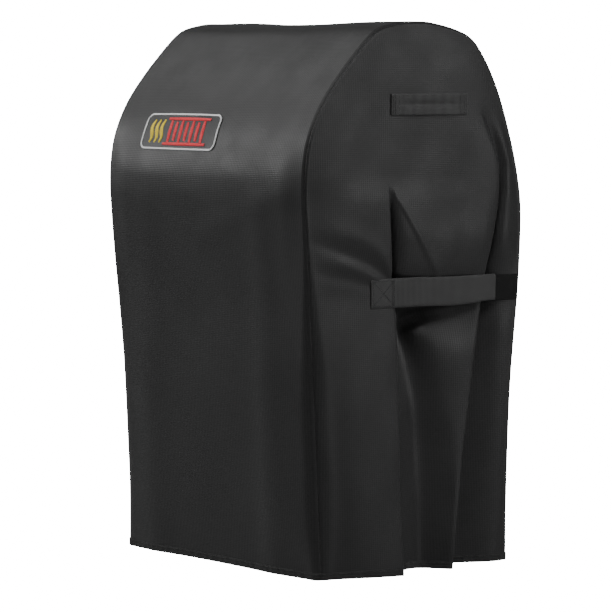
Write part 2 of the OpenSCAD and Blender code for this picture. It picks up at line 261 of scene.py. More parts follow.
def sample(t, s, values):
    """The columns of values, known at s, read at t."""
    return np.stack([np.interp(t, s, column) for column in np.asarray(values).T], -1)


def catmull(knots, per):
    """Points on the Catmull-Rom curve through knots, per steps between two of them."""
    k = np.asarray(knots, float)
    k = np.vstack([2 * k[0] - k[1], k, 2 * k[-1] - k[-2]])
    f = np.linspace(0, 1, per, endpoint=False)[:, None]
    out = []
    for a, b, c, d in zip(k[:-3], k[1:-2], k[2:-1], k[3:]):
        out.append(0.5 * (2 * b + (c - a) * f + (2 * a - 5 * b + 4 * c - d) * f**2
                          + (3 * b - a - 3 * c + d) * f**3))
    out.append(k[-2][None])
    return np.vstack(out)


def lengths(path):
    return np.concatenate([[0], np.cumsum(np.linalg.norm(np.diff(path, axis=0), axis=1))])


def resample(path, step):
    s = lengths(path)
    n = max(2, int(round(s[-1] / step)) + 1)
    return sample(np.linspace(0, s[-1], n), s, path)


def soften(values, sigma):
    """Gaussian smoothing along axis 0, sigma in samples, with both ends kept where they are."""
    values = np.asarray(values, float)
    flat = values.reshape(len(values), -1)
    r = min(max(1, int(3 * sigma)), len(flat) - 1)
    kernel = np.exp(-0.5 * (np.arange(-r, r + 1) / sigma) ** 2)
    kernel /= kernel.sum()
    low = 2 * flat[0] - flat[r:0:-1]
    high = 2 * flat[-1] - flat[-2:-r - 2:-1]
    padded = np.vstack([low, flat, high])
    out = np.stack([np.convolve(column, kernel, "valid") for column in padded.T], 1)
    return out.reshape(values.shape)


def table(pairs, x):
    return np.interp(x, *np.array(pairs, float).T)


def waves(a, b, seed, lengths_m, amount):
    """A gentle seeded ripple over two flat coordinates, three waves of each length."""
    rng = np.random.default_rng(seed)
    out = np.zeros(np.broadcast(a, b).shape)
    for wave in lengths_m:
        for _ in range(3):
            turn, phase = rng.uniform(0, 2 * math.pi, 2)
            out += np.sin(2 * math.pi * (a * math.cos(turn) + b * math.sin(turn)) / wave + phase)
    return amount * out / (3 * len(lengths_m)) ** 0.5


def rounded(gap, reach, least):
    """Share of the full thickness, a gap away from an edge that is rounded over reach."""
    return np.sqrt(np.clip(1 - np.clip(1 - gap / reach, 0, 1) ** 2, least, 1))


# ---- outline


def make_outline():
    """The side view from the foot of the front over the top to the foot of the back."""
    p = np.array(PROFILE)
    front, rear = (catmull(np.stack([p[:, i] * HALF_DEPTH, p[:, 0] * HEIGHT], 1), 24)
                   for i in (1, 2))
    whole = resample(np.vstack([front, rear[::-1]]), LINE_STEP)
    return resample(soften(whole, 5), LINE_STEP)


OUTLINE = make_outline()
OUT_S = lengths(OUTLINE)
OUT_TANGENT = unit(np.gradient(OUTLINE, OUT_S, axis=0))
OUT_NORMAL = np.stack([-OUT_TANGENT[:, 1], OUT_TANGENT[:, 0]], 1)
TOP_I = int(np.argmax(OUTLINE[:, 1] - 0.0001 * np.abs(OUTLINE[:, 0])))
OUT_RADIUS = soften(np.where(np.arange(len(OUTLINE)) < TOP_I, table(FRONT_RADIUS, OUTLINE[:, 1]),
                             table(REAR_RADIUS, OUTLINE[:, 1])), 12)
SEAM_LINE = OUTLINE - OUT_NORMAL * (OUT_RADIUS * (1 - math.cos(SEAM_ANGLE)))[:, None]


def out_at(s):
    """Place, outward normal and corner radius at arc length s of the outline."""
    normal = unit(sample(s, OUT_S, OUT_NORMAL))
    return sample(s, OUT_S, OUTLINE), normal, np.interp(s, OUT_S, OUT_RADIUS)


def by_height(z, line, values):
    """values at height z of the front and of the rear of a line in the side view."""
    return (np.interp(z, line[:TOP_I, 1], values[:TOP_I]),
            np.interp(z, line[TOP_I:, 1][::-1], values[TOP_I:][::-1]))


def outline_s(z):
    """Arc lengths of the front and of the rear of the outline at height z."""
    return by_height(z, OUTLINE, OUT_S)


def hem_lift(z, lift):
    """How much higher a point near the hem lies where the hem itself is lifted."""
    return lift * np.clip(1 - z / HEM_LIFT_REACH, 0, 1) ** 2


def seam_turn(normal):
    """Unit vectors out of the right seam, halfway between the side and the outline's normals."""
    return np.stack([np.ones(len(normal)), normal[:, 0], normal[:, 1]], 1) / math.sqrt(2)


# ---- center panel


def center_drape(x, s, z):
    """How far the front, top and back stand out of their plain outline."""
    front = s < OUT_S[TOP_I]
    below = smooth(0.80, 0.66, z)
    side = np.clip(1 - np.abs(x) / SIDE_FACE, 0, 1)
    edge = smooth(0.0, 0.16, side)
    ripple = waves(x, s, 11, (0.45, 0.28, 0.19), 0.0011) * edge
    ridge = (0.0030 * hump(x, 0.185, 0.038) + 0.0020 * hump(x, -0.20, 0.05)) * below
    crown = 0.006 * (1 - smooth(0.205, 0.325, np.abs(x))) * smooth(0.56, 0.34, z)
    shoulder = 0.0070 * smooth(0.860, 0.780, z) * (1 - smooth(0.778, 0.52, z))
    shoulder = shoulder * smooth(0.0, 0.22, side)
    v_fold = 0.0014 * hump(z - 0.10 * np.abs(x + 0.02) / 0.3, 0.66, 0.03) * edge
    top = -0.004 * smooth(0.97, 1.06, z) * smooth(0.1, 0.9, side)
    return ripple + np.where(front, ridge + crown + shoulder + v_fold, 0) + top


def draped(x, s, out):
    """Points x across and s along the outline, out in front of the draped center panel."""
    place, normal, _ = out_at(s)
    amount = center_drape(x, s, place[..., 1]) + out
    return np.stack([x, place[..., 0] + normal[..., 0] * amount,
                     place[..., 1] + normal[..., 1] * amount], -1)


def center_grid():
    """Outer surface of the center panel from the front's hem to the back's, left to right."""
    s_hem0, s_hem1 = outline_s(HEM_ROWS)
    count = int((OUT_S[-1] - 2 * HEM_ROWS[-1]) / 0.006)
    s = np.concatenate([s_hem0, np.linspace(s_hem0[-1], s_hem1[-1], count)[1:-1], s_hem1[::-1]])
    _, normal, radius = out_at(s)
    angles = np.linspace(0, SEAM_ANGLE, 9)[None, 1:]
    half, radius = (SIDE_FACE - radius)[:, None], radius[:, None]
    x = np.linspace(-1, 1, 99)[None] * half
    roll_x = half + radius * np.sin(angles)
    roll_d = radius * (1 - np.cos(angles))
    drop = np.hstack([roll_d[:, ::-1], np.zeros_like(x), roll_d])
    x = np.hstack([-roll_x[:, ::-1], x, roll_x])
    grid = draped(x, s[:, None], -drop)
    lift = np.where(s[:, None] < OUT_S[TOP_I], FRONT_LIFT + 0.001 * np.cos(x * 9), BACK_LIFT)
    grid[..., 2] += hem_lift(grid[..., 2], lift)
    turn = SEAM_TURN * seam_turn(normal)
    left, right = grid[:, 0] - flip_x(turn, -1), grid[:, -1] - turn
    grid = np.concatenate([left[:, None], grid, right[:, None]], 1)
    return grid, flat_of(grid[..., 0], s[:, None])


CENTER, CENTER_FLAT = center_grid()

# ---- side panels


def seam_distance(y, z):
    """Distance in the side view from points to the outline, and its corner radius there."""
    points = np.stack([y.ravel(), z.ravel()], 1)
    d = np.empty(len(points))
    radius = np.empty(len(points))
    for i in range(0, len(points), 4000):
        part = points[i:i + 4000]
        gap = ((part[:, None, :] - OUTLINE[None]) ** 2).sum(-1)
        best = gap.argmin(1)
        along = np.abs(((part - OUTLINE[best]) * OUT_NORMAL[best]).sum(1))
        far = np.sqrt(gap[np.arange(len(best)), best])
        d[i:i + 4000] = np.where(far > 0.004, far, along)
        radius[i:i + 4000] = OUT_RADIUS[best]
    return d.reshape(y.shape), radius.reshape(y.shape)


def seam_ends(z):
    """Front and rear y of the seams at the heights z, as columns."""
    return by_height(z[:, None], SEAM_LINE, SEAM_LINE[:, 0])


def fold_lines(z):
    """y and x of every fold line at the heights z, with the seams at both ends."""
    heights = sorted(FOLDS)
    knots = np.array([[k] + FOLDS[k] for k in heights]) / 1000.0
    dense = catmull(knots, 40)
    order = np.linspace(0, knots[-1, 0], 600)
    even = soften(sample(order, dense[:, 0], dense[:, 1:]), 3)
    folds = sample(np.minimum(z, FOLD_TOP), order, even).reshape(len(z), FOLD_LINES, 2)
    front, rear = seam_ends(z)
    start = front + table(FRONT_RADIUS, z)[:, None]
    nose_y, nose_x = folds[:, :1, 0], folds[:, :1, 1]
    lead_y = start + (nose_y - start) * LEAD_SHARES
    lead_x = SIDE_FACE + (nose_x - SIDE_FACE) * (1 - (1 - LEAD_SHARES) ** 3)
    lead_x = lead_x + LEAD_SWELL * smooth(0.60, 0.50, z)[:, None] * LEAD_SWELL_SHARES
    y = np.concatenate([front, lead_y, folds[:, :, 0], rear - REAR_EDGE, rear], 1)
    edge = np.full((len(z), 1), SIDE_FACE)
    x = np.concatenate([edge, lead_x, folds[:, :, 1], edge, edge], 1)
    return y, x


def side_rows():
    """Heights of the side grid's rows: even low down, by the seam's arc length higher up."""
    low = np.concatenate([HEM_ROWS, np.arange(0.022, 0.80, 0.0065)])
    top = SEAM_LINE[:, 1].max()
    z = np.sort(np.interp(np.arange(0, OUT_S[-1], 0.0055), OUT_S, SEAM_LINE[:, 1]))
    keep = [low[-1]]
    for value in z[(z > 0.8) & (z < top - 0.0004)]:
        if value - keep[-1] > 0.0007:
            keep.append(value)
    return np.concatenate([low, keep[1:], [top + 0.001]])


def top_of(y):
    """Height of the seam line above a place y in the side view."""
    first = int(np.argmin(SEAM_LINE[:TOP_I, 0]))
    last = TOP_I + int(np.argmax(SEAM_LINE[TOP_I:, 0]))
    return np.interp(y, SEAM_LINE[first:last + 1, 0], SEAM_LINE[first:last + 1, 1])


def fold_strokes(y, z):
    """How far the softer folds bring the cloth out at places in the side view."""
    total = np.zeros_like(y)
    for points, widths, above, below, depths in STROKES:
        line = catmull(np.array(points, float) / 1000, 8)
        t = np.linspace(0, 1, len(line))
        keys = np.linspace(0, 1, len(points))
        width = np.interp(t, keys, widths) / 1000
        depth = np.interp(t, keys, depths) / 1000
        low, high = line.min(0) - STROKE_REACH, line.max(0) + STROKE_REACH
        box = (y > low[0]) & (y < high[0]) & (z > low[1]) & (z < high[1])
        yy, zz = y[box], z[box]
        best = np.full(yy.shape, 1e9)
        signed, w, h = np.zeros_like(yy), np.zeros_like(yy), np.zeros_like(yy)
        for i in range(len(line) - 1):
            a, ab = line[i], line[i + 1] - line[i]
            f = np.clip(((yy - a[0]) * ab[0] + (zz - a[1]) * ab[1]) / (ab @ ab), 0, 1)
            dy, dz = yy - a[0] - f * ab[0], zz - a[1] - f * ab[1]
            gap = np.hypot(dy, dz)
            closer = gap < best
            best = np.where(closer, gap, best)
            signed = np.where(closer, np.sign(ab[0] * dz - ab[1] * dy) * gap, signed)
            w = np.where(closer, width[i] + f * (width[i + 1] - width[i]), w)
            h = np.where(closer, depth[i] + f * (depth[i + 1] - depth[i]), h)
        total[box] += h * hump(best, 0, w * np.where(signed > 0, above, below))
    return total


def column_blur(columns):
    """Weights that smooth the grid's columns, least beside the pleats' noses."""
    nose = np.minimum(*[np.abs(columns - line) for line in NOSE_LINES])
    width = 1.0 + 2.0 * smooth(0.15, 1.6, nose) * smooth(0, 2.5, columns) * smooth(
        0, 2, columns[-1] - columns)
    order = np.arange(len(columns))
    weights = np.exp(-0.5 * ((order[None] - order[:, None]) / width[:, None]) ** 2)
    weights[0], weights[-1] = 0, 0
    weights[0, 0] = weights[-1, -1] = 1
    return (weights / weights.sum(1, keepdims=True)).T


def side_grid():
    """Outer surface of the right side panel, from the front seam to the rear one, hem to top."""
    z = side_rows()
    y_line, x_line = fold_lines(z)
    high = z >= FOLD_TOP
    base = y_line[~high][-1]
    share = (base - base[0]) / (base[-1] - base[0])
    front, rear = seam_ends(z)
    spread = smooth(FOLD_TOP, 1.07, z)[:, None]
    even = 0.35 * share + 0.65 * np.linspace(0, 1, len(share))
    mixed = share * (1 - spread) + even * spread
    y_line[high] = (front + (rear - front) * mixed)[high]
    columns = [i + k / n for i, n in enumerate(STEPS) for k in range(n)]
    columns = np.array(columns + [len(STEPS)])
    lines = np.arange(y_line.shape[1])
    blur = column_blur(columns)
    y = sample(columns, lines, y_line.T).T @ blur
    x = sample(columns, lines, x_line.T).T @ blur
    z_grid = np.minimum(z[:, None], top_of(y))
    d, radius = seam_distance(y, z_grid)
    puff = SIDE_PUFF * (1 - (1 - np.clip(d / PUFF_REACH, 0, 1)) ** 2)
    rear_part = smooth(*FADE_Y, y)
    blend = smooth(*FRONT_FADE, z_grid) * (1 - rear_part) + smooth(*REAR_FADE, z_grid) * rear_part
    x = x * (1 - blend) + (SIDE_FACE + puff) * blend + fold_strokes(y, z_grid)
    x = x + waves(y, z_grid, 5, (0.30, 0.19, 0.12), 0.0008) * smooth(0.0, 0.06, d)
    close = np.clip(1 - d / radius, 0, 1)
    x = x - radius * (1 - np.sqrt(np.clip(1 - close**2, 0, 1)))
    bead = np.clip((d - radius * (1 - math.cos(SEAM_ANGLE))) / SEAM_BEAD_W, 0, 1)
    x = x + SEAM_BEAD * np.sin(math.pi * bead) ** 2
    lift = np.interp(columns, lines, HEM_LIFTS)[None] / 1000
    z_grid = z_grid + hem_lift(z_grid, lift)
    return np.stack([x, y, z_grid], -1), flat_of(y, z_grid), columns, z


SIDE, SIDE_FLAT, SIDE_COLUMNS, SIDE_Z = side_grid()
NOSE_COLUMN = int(np.argmin(np.abs(SIDE_COLUMNS - 5)))


def side_x(y, z):
    """x of the right side panel in front of its front pleat, or anywhere above the folds."""
    y, z = np.broadcast_arrays(np.asarray(y, float), np.asarray(z, float))
    out = np.empty(y.shape)
    for i, (y_i, z_i) in enumerate(zip(y.ravel(), z.ravel())):
        k = int(np.clip(np.searchsorted(SIDE_Z, z_i), 1, len(SIDE_Z) - 1))
        f = (z_i - SIDE_Z[k - 1]) / (SIDE_Z[k] - SIDE_Z[k - 1])
        last = NOSE_COLUMN if z_i < FOLD_TOP else SIDE.shape[1]
        low, high = (np.interp(y_i, SIDE[r, :last, 1], SIDE[r, :last, 0]) for r in (k - 1, k))
        out.flat[i] = low + (high - low) * f
    return out


# ---- meshes

STITCH_SHARE = 0.72  # of its pitch that a stitch fills
STITCH_REACH, STRAND_REACH = 0.0008, 0.0006  # over which a thread's direction is measured
SEWING_RADIUS = 0.0005  # of the thread on straps and handles
RIB_EDGE = 0.002  # from a webbing's edge to where its ribs are full


def new_object(name, vertices, faces, flat=None, smooth_faces=True):
    mesh = bpy.data.meshes.new(name)
    mesh.from_pydata(np.asarray(vertices, float).tolist(), [], [list(map(int, f)) for f in faces])
    if smooth_faces:
        mesh.polygons.foreach_set("use_smooth", np.ones(len(mesh.polygons), bool))
    if flat is not None:
        layer = mesh.attributes.new("flat", "FLOAT_VECTOR", "POINT")
        layer.data.foreach_set("vector", np.asarray(flat, np.float32).ravel())
    mesh.validate()
    mesh.update()
    obj = bpy.data.objects.new(name, mesh)
    bpy.context.scene.collection.objects.link(obj)
    return obj


def grid_faces(rows, cols, around=False, closed=False, flip=False):
    """Quads of a grid; around joins its last column to the first, closed its last row."""
    index = np.arange(rows * cols).reshape(rows, cols)
    if closed:
        index = np.concatenate([index, index[:1]], 0)
    if around:
        index = np.concatenate([index, index[:, :1]], 1)
    quads = np.stack([index[:-1, :-1], index[:-1, 1:], index[1:, 1:], index[1:, :-1]], -1)
    quads = quads.reshape(-1, 4)
    return quads[:, ::-1] if flip else quads


def thick_sheet(name, grid, flat, thickness, outward):
    """A sheet with its outer face on grid; outward says whether the grid's faces look out."""
    rows, cols = grid.shape[:2]
    obj = new_object(name, grid.reshape(-1, 3), grid_faces(rows, cols, flip=not outward),
                     flat.reshape(-1, 3))
    solid = obj.modifiers.new("thickness", "SOLIDIFY")
    solid.thickness = thickness
    solid.offset = -1
    solid.use_even_offset = False
    return obj


def tube_grid(name, sections, flat, flip=False):
    """A closed solid through sections, an array of rings of points."""
    count, around = sections.shape[:2]
    faces = list(grid_faces(count, around, around=True, flip=flip))
    first = list(range(around))
    last = [(count - 1) * around + i for i in range(around)]
    faces.append(first if flip else first[::-1])
    faces.append(last[::-1] if flip else last)
    return new_object(name, sections.reshape(-1, 3), faces, flat.reshape(-1, 3))


def bead_faces(faces, start, rings, sides):
    """Adds the faces of a closed bead whose rings of points begin at start."""
    for r in range(rings - 1):
        low, high = start + r * sides, start + (r + 1) * sides
        for a in range(sides):
            b = (a + 1) % sides
            faces.append((low + a, low + b, high + b, high + a))
    faces.append([start + a for a in range(sides)][::-1])
    faces.append([start + (rings - 1) * sides + a for a in range(sides)])


def level_normals(along):
    """Level unit vectors to the right of the directions along."""
    return unit(np.stack([along[:, 1], -along[:, 0], np.zeros(len(along))], 1))


def ribbon(name, sign, path, across, width, thickness, ribs=0.0, rib_pitch=1.0, step=0.0006,
           columns=15, trim=None):
    """A woven strip along the right side's path with rounded edges and ribs across it, mirrored
    for the left. trim(t) gives the low and high edge as shares of width."""
    normals = flip_x(level_normals(np.gradient(path, axis=0)), sign)
    path, across = flip_x(path, sign), flip_x(across, sign) * sign
    s = lengths(path)
    count = max(2, int(round(s[-1] / step)) + 1)
    t = np.linspace(0, s[-1], count)
    p, a, n = sample(t, s, path), unit(sample(t, s, across)), unit(sample(t, s, normals))
    low, high = (np.full(count, -0.5), np.full(count, 0.5)) if trim is None else trim(t / s[-1])
    low, high = low[:, None], high[:, None]
    share = low + np.linspace(0, 1, columns)[None] * (high - low)
    edge = np.minimum(share - low, high - share) * width
    end = np.minimum(t, s[-1] - t)
    half = thickness / 2 * rounded(edge, thickness * 0.7, 0.06)
    half = half * rounded(end, thickness * 0.6, 0.15)[:, None]
    rib = ribs * (0.5 + 0.5 * np.cos(2 * math.pi * t / rib_pitch))[:, None]
    rib = rib * np.clip(edge / RIB_EDGE, 0, 1)
    mid = p[:, None] + a[:, None] * (share * width)[..., None]
    top = mid + n[:, None] * (half + rib)[..., None]
    bottom = (mid - n[:, None] * half[..., None])[:, ::-1]
    flat = flat_of(t[:, None], share * width)
    return tube_grid(name, np.concatenate([top, bottom], 1),
                     np.concatenate([flat, flat[:, ::-1]], 1))


def walk(path, pitch, reach):
    """Points every pitch along path, the path's direction there over reach to both sides, their
    distances along the path, and those of the path's own points."""
    s = lengths(path)
    t = np.arange(pitch / 2, s[-1], pitch)
    return sample(t, s, path), unit(sample(t + reach, s, path) - sample(t - reach, s, path)), t, s


def stitches(name, rows, radius=0.00045):
    """Rows of sewn stitches. Each row is (path, normals, pitch); a stitch is a small bead of
    thread that dives into the cloth at both ends."""
    rings, sides = 5, 6
    vertices, faces, flat = [], [], []
    turn = np.linspace(0, 2 * math.pi, sides, endpoint=False)
    for path, normals, pitch in rows:
        at, along, t, s = walk(path, pitch, STITCH_REACH)
        n = sample(t, s, normals)
        n = unit(n - along * (n * along).sum(1, keepdims=True))
        side = np.cross(along, n)
        half = pitch * STITCH_SHARE / 2
        for k in range(len(at)):
            start = len(vertices)
            for r in range(rings):
                f = -1 + 2 * r / (rings - 1)
                lift = radius * (0.75 - 1.1 * f * f)
                size = radius * math.sqrt(max(0.12, 1 - 0.8 * f * f))
                centre = at[k] + along[k] * (half * f) + n[k] * lift
                for a in turn:
                    vertices.append(centre + side[k] * (size * math.cos(a))
                                    + n[k] * (size * math.sin(a)))
                    flat.append((half * f, a * radius, 0))
            bead_faces(faces, start, rings, sides)
    return new_object(name, vertices, faces, flat)


def side_row(points, sign, pitch):
    """A row of stitches on a side, given on the right one."""
    return flip_x(points, sign), np.tile([sign, 0, 0], (len(points), 1)), pitch


FINISHES = []


def finish_as(obj, slot):
    """Names the material slot of a piece; the material itself is added further down."""
    FINISHES.append((obj, slot))


def on_cover(obj, slot, node):
    """A piece that moves with the cover and stands for one node of the CAD."""
    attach(obj, "cover")
    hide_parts(node)
    finish_as(obj, slot)
    return obj


# ---- cloth pieces

on_cover(thick_sheet("center_cloth", CENTER, CENTER_FLAT, CLOTH, outward=True),
                          "cloth", "center_panel")


def side_with_turns():
    """The side grid with its edges turned in at the seams."""
    z = np.minimum(SIDE_Z, HEIGHT - 0.001)
    front, rear = (SEAM_TURN * seam_turn(out_at(s)[1]) for s in outline_s(z))
    grid = np.concatenate([(SIDE[:, 0] - front)[:, None], SIDE, (SIDE[:, -1] - rear)[:, None]], 1)
    top = grid[-1] - SEAM_TURN * np.array([1, 0, 1]) / math.sqrt(2)
    flat = np.concatenate([SIDE_FLAT[:, :1], SIDE_FLAT, SIDE_FLAT[:, -1:]], 1)
    return np.concatenate([grid, top[None]], 0), np.concatenate([flat, flat[-1:]], 0)


SIDE_FULL, SIDE_FULL_FLAT = side_with_turns()
for side, sign in SIDES:
    sheet = thick_sheet(side + "_side_cloth", flip_x(SIDE_FULL, sign), SIDE_FULL_FLAT, CLOTH,
                        outward=sign > 0)
    on_cover(sheet, "cloth", side + "_side_panel")

# ---- hem

# The tape's section: how far out of the cloth's face, in tape thicknesses, and height.
HEM_SECTION = [(0.5, HEM_H), (1.0, HEM_H - 0.0006), (1.05, HEM_H * 0.6), (1.05, 0.004),
               (0.95, 0.0016), (0.4, 0.0003), (-0.6, 0.0003), (-1.5, 0.0014), (-1.75, 0.004),
               (-1.75, HEM_H * 0.6), (-1.7, HEM_H - 0.0006), (-1.2, HEM_H)]
PUCKER, PUCKER_WAVES = 0.00022, (0.017, 0.026, 0.041, 0.007)


def closed(ring):
    return np.vstack([ring, ring[:1]])


def hem_ring(row):
    """The cloth's outer face once round the cover at hem row 0 to 4, seen from above
    anticlockwise from the left end of the front, back at its start."""
    front = CENTER[row, 1:-1]
    back = CENTER[len(CENTER) - 1 - row, 1:-1][::-1]
    left = flip_x(SIDE[row], -1)[::-1]
    return closed(np.vstack([front[:-1], SIDE[row][:-1], back[:-1], left[:-1]]))


def hem_frame(step):
    """Round the hem: its lowest and highest row, the way out, and the distance along it."""
    low, high = hem_ring(0), hem_ring(4)
    s = lengths(low)
    t = np.linspace(0, s[-1], int(s[-1] / step), endpoint=False)
    low, high = sample(t, s, low), sample(t, s, high)
    out = level_normals(np.roll(low, -1, 0) - np.roll(low, 1, 0))
    for _ in range(3):
        out = unit(out + 0.5 * (np.roll(out, 1, 0) + np.roll(out, -1, 0)))
    return low, high, out, t


def hem_share(z):
    """How far the height z is up from the lowest hem row to the highest."""
    return (z - HEM_ROWS[0]) / (HEM_ROWS[4] - HEM_ROWS[0])


def hem_piece():
    low, high, out, t = hem_frame(step=0.0035)
    period = t[-1] + t[1]
    rng = np.random.default_rng(3)
    pucker = np.zeros(len(t))
    for wave in PUCKER_WAVES:
        turns = round(period / wave)
        pucker += np.sin(2 * math.pi * turns * t / period + rng.uniform(0, 6.28)) * PUCKER
    rings = []
    for across, height in HEM_SECTION:
        base = low + (high - low) * hem_share(height)
        rings.append(base + out * (across * HEM_TAPE + pucker * (across > 0))[:, None])
    flat = flat_of(t[:, None], np.array([height for _, height in HEM_SECTION])[None])
    faces = grid_faces(len(t), len(HEM_SECTION), around=True, closed=True, flip=True)
    return new_object("hem_tape", np.stack(rings, 1).reshape(-1, 3), faces, flat.reshape(-1, 3))


def hem_stitch_piece():
    low, high, out, _ = hem_frame(step=0.003)
    path = low + (high - low) * hem_share(HEM_STITCH_Z) + out * HEM_TAPE
    return stitches("hem_stitches", [(closed(path), closed(out), HEM_STITCH_PITCH)])


on_cover(hem_piece(), "binding_tape", "hem_binding")
on_cover(hem_stitch_piece(), "dark_thread", "hem_stitching")

# ---- seam tapes, inside


def seam_tape(side, sign):
    s = np.linspace(*outline_s(BINDING_Z), 320)[:, None]
    x = SIDE_FACE - out_at(s)[2] - BINDING_INSET + BINDING_W * np.linspace(0, 1, 5)
    grid = draped(x, s, -BINDING_DEPTH)
    grid[..., 2] += hem_lift(grid[..., 2], FRONT_LIFT)
    sheet = thick_sheet(side + "_seam_binding", flip_x(grid, sign), flat_of(x, s), BINDING_T,
                        outward=sign > 0)
    on_cover(sheet, "binding_tape", side + "_seam_tape")


for side, sign in SIDES:
    seam_tape(side, sign)

# ---- straps


def at_strap(line):
    """A line seen from above as points at the strap's height."""
    return np.column_stack([line, np.full(len(line), STRAP_Z)])


def strap_path():
    """Middle line of the strap, from its sewn end to its free tail."""
    ys = np.linspace(ANCHOR_FRONT_Y, ANCHOR_REAR_Y, 9)
    sewn = np.stack([side_x(ys, STRAP_Z) + STRAP_LIFT, ys], 1)
    line = catmull(np.vstack([sewn, np.array(STRAP_FREE) / 1000]), 6)
    return at_strap(soften(resample(line, LINE_STEP), 3))


STRAP_PATH = strap_path()


def strap_trim(t):
    """Low and high edge of the right strap as shares of its width, t along its length."""
    low = -0.5 + 0.075 * smooth(0.62, 1.0, t)
    high = 0.5 - 0.02 * smooth(0.7, 1.0, t) - 0.05 * smooth(0.985, 1.0, t)
    return low, high


def left_strap_trim(t):
    low, high = strap_trim(t)
    return -high, -low


def strap_piece(side, sign):
    y = STRAP_PATH[:, 1]
    up = np.tile([0, 0, 1.0], (len(y), 1))
    up[:, 0] = 0.02 * smooth(0.10, STRAP_TAIL_Y, y)
    path = STRAP_PATH.copy()
    path[:, 2] += 0.0012 * np.sin((y - ANCHOR_FRONT_Y) / 0.32 * 7.0) * smooth(-0.05, 0.02, y)
    obj = ribbon(side + "_strap_web", sign, path, up, STRAP_W, STRAP_T, ribs=RIB_H,
                 rib_pitch=WEB_PITCH, trim=strap_trim if sign > 0 else left_strap_trim)
    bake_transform(obj)
    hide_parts(side + "_strap", side + "_strap_anchor")
    finish_as(obj, "webbing")


def strap_sewing(side, sign):
    """The sewn end's box and cross, with a second line at its rear."""
    y0, y1 = ANCHOR_FRONT_Y + STRAP_STITCH_INSET, SEWN_REAR_Y
    half = STRAP_W / 2 - STRAP_STITCH_INSET
    z0, z1 = STRAP_Z - half, STRAP_Z + half
    corners = [(y0, z0), (y1, z0), (y1, z1), (y0, z1), (y0, z0)]
    lines = list(zip(corners[:-1], corners[1:]))
    lines += [((y0, z0), (y1, z1)), ((y0, z1), (y1, z0))]
    lines += [((y1 - 0.0035, z0), (y1 - 0.0035, z1))]
    rows = []
    for a, b in lines:
        f = np.linspace(0, 1, 14)
        y, z = a[0] + (b[0] - a[0]) * f, a[1] + (b[1] - a[1]) * f
        x = np.interp(y, STRAP_PATH[:, 1], STRAP_PATH[:, 0]) + STRAP_T / 2 + THREAD_LIFT
        rows.append(side_row(np.stack([x, y, z], -1), sign, STRAP_STITCH_PITCH))
    on_cover(stitches(side + "_strap_sewing", rows, SEWING_RADIUS), "dark_thread",
             side + "_strap_stitching")


def hook_piece(side, sign):
    """The strip of hook tape that the strap's tail closes on, out to the rear seam."""
    path = at_strap(resample(catmull(np.array(HOOK_LINE) / 1000, 8), LINE_STEP))
    up = np.tile([0, 0, 1.0], (len(path), 1))
    strip = ribbon(side + "_hook_strip", sign, path, up, HOOK_W, HOOK_T, step=0.002, columns=18)
    on_cover(strip, "hook_tape", side + "_hook_tape")


for side, sign in SIDES:
    strap_piece(side, sign)
    strap_sewing(side, sign)
    hook_piece(side, sign)

# ---- handles


def handle_half(side, sign, end):
    """One half of a handle: a webbing strip folded lengthwise, sewn down at its tab."""
    tab, mid = HANDLE_Y + end * HANDLE_HALF, HANDLE_Y + end * HANDLE_GAP
    ys = np.linspace(tab, mid, HANDLE_POINTS)
    share = np.linspace(0, 1, 25)
    zs = HANDLE_Z0 + (HANDLE_Z1 - HANDLE_Z0) * share
    yy, zz = np.meshgrid(ys, zs, indexing="ij")
    away = np.abs(ys - tab)
    coarse = sample(zs, zs[::4], side_x(yy[::6, ::4], zz[::6, ::4]).T).T
    cloth_x = sample(away, away[::6], coarse)
    stand = 0.0011 + 0.0030 * smooth(0.020, 0.060, away)
    crease = 0.0030 * hump(share, 0.52, 0.16)[None] * smooth(0.018, 0.045, away)[:, None]
    crease += 0.0008 * hump(share, 0.52, 0.05)[None]
    ribs = RIB_H * (0.5 + 0.5 * np.cos(2 * math.pi * (zz - HANDLE_Z0) / 0.0056))
    ribs = ribs + 0.0002 * np.cos(2 * math.pi * yy / 0.0026)
    edge = np.minimum(share, 1 - share) * (HANDLE_Z1 - HANDLE_Z0)
    half = HANDLE_T / 2 * rounded(edge, 0.0018, 0.08)[None] * rounded(away, 0.0018, 0.15)[:, None]
    centre = cloth_x + stand[:, None] + 0.0016 - crease
    top = np.stack([centre + half + ribs * np.clip(edge / RIB_EDGE, 0, 1)[None], yy, zz], -1)
    bottom = np.stack([centre - half, yy, zz], -1)[:, ::-1]
    flat = flat_of(yy, zz)
    name = side + ("_handle_rear_half" if end > 0 else "_handle_front_half")
    obj = tube_grid(name, flip_x(np.concatenate([top, bottom], 1), sign),
                    np.concatenate([flat, flat[:, ::-1]], 1), flip=(sign * end > 0))
    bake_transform(obj)
    finish_as(obj, "webbing")
    return obj, top


def handle(side, sign):
    rows = []
    for end, node in ((-1, "_handle_grip"), (1, "_handle_tabs")):
        obj, top = handle_half(side, sign, end)
        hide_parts(side + node)
        for offset in HANDLE_STITCH_ROWS:
            k = int(offset / HANDLE_HALF * (HANDLE_POINTS - 1))
            rows.append(side_row(top[k, 1:-1] + np.array([0.0003, 0, 0]), sign,
                                 HANDLE_STITCH_PITCH))
    on_cover(stitches(side + "_handle_sewing", rows, SEWING_RADIUS), "dark_thread",
             side + "_handle_stitching")


for side, sign in SIDES:
    handle(side, sign)

# ---- badge

BADGE_S = float(outline_s(BADGE_Z)[0])


def on_badge(u, v, out):
    """A point u across and v up the badge from its middle, out in front of the cloth."""
    return draped(BADGE_X + u, BADGE_S + v, out)


